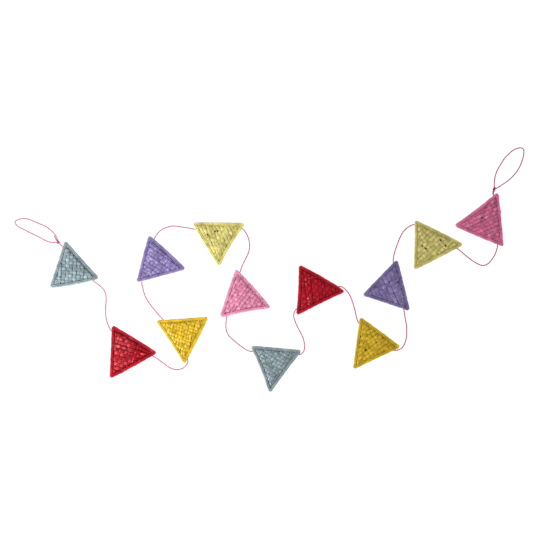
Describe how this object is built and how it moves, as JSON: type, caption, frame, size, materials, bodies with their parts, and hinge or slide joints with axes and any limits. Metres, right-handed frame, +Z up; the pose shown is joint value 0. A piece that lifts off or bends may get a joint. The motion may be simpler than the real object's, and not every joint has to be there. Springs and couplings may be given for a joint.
{
  "type": "raffia flag garland",
  "caption": "Woven raffia triangle flags with folded bindings, threaded on a thin twisted cord that ends in a knotted loop at each end, laid out flat in loose curves.",
  "frame": {"origin": "on the surface the flags rest on, under the middle of the laid-out row of flags", "axes": "+X along the row of flags from the first flag to the last, +Y across it towards the right end loop, +Z up from the surface"},
  "size_m": [1.1204, 0.5373, 0.0069],
  "materials": {
    "raffia_teal": "dyed woven raffia, grey teal, dry with a slight gloss along the strips",
    "raffia_red": "dyed woven raffia, deep red, dry with a slight gloss along the strips",
    "raffia_yellow": "dyed woven raffia, golden yellow, dry with a slight gloss along the strips",
    "raffia_purple": "dyed woven raffia, soft purple, dry with a slight gloss along the strips",
    "raffia_lime": "dyed woven raffia, pale lime, with a few undyed strips",
    "raffia_pink": "dyed woven raffia, light pink, dry with a slight gloss along the strips",
    "raffia_magenta": "dyed woven raffia, strong pink, dry with a slight gloss along the strips",
    "twisted_cord": "two strand twisted pink cord, matt"
  },
  "bodies": {
    "root": {"panel_01_teal": "raffia_teal", "panel_02_red": "raffia_red", "panel_03_yellow": "raffia_yellow", "panel_04_purple": "raffia_purple", "panel_05_lime": "raffia_lime", "panel_06_pink": "raffia_pink", "panel_07_teal": "raffia_teal", "panel_08_red": "raffia_red", "panel_09_yellow": "raffia_yellow", "panel_10_purple": "raffia_purple", "panel_11_lime": "raffia_lime", "panel_12_magenta": "raffia_magenta", "binding_01_teal": "raffia_teal", "binding_02_red": "raffia_red", "binding_03_yellow": "raffia_yellow", "binding_04_purple": "raffia_purple", "binding_05_lime": "raffia_lime", "binding_06_pink": "raffia_pink", "binding_07_teal": "raffia_teal", "binding_08_red": "raffia_red", "binding_09_yellow": "raffia_yellow", "binding_10_purple": "raffia_purple", "binding_11_lime": "raffia_lime", "binding_12_magenta": "raffia_magenta", "cord_left_end": "twisted_cord", "cord_01_02": "twisted_cord", "cord_02_03": "twisted_cord", "cord_03_04": "twisted_cord", "cord_04_05": "twisted_cord", "cord_05_06": "twisted_cord", "cord_06_07": "twisted_cord", "cord_07_08": "twisted_cord", "cord_08_09": "twisted_cord", "cord_09_10": "twisted_cord", "cord_10_11": "twisted_cord", "cord_11_12": "twisted_cord", "cord_right_end": "twisted_cord", "loop_left": "twisted_cord", "loop_right": "twisted_cord", "knot_left": "twisted_cord", "knot_right": "twisted_cord", "cord_tail_left": "twisted_cord", "cord_tail_right": "twisted_cord"}
  },
  "joints": []
}
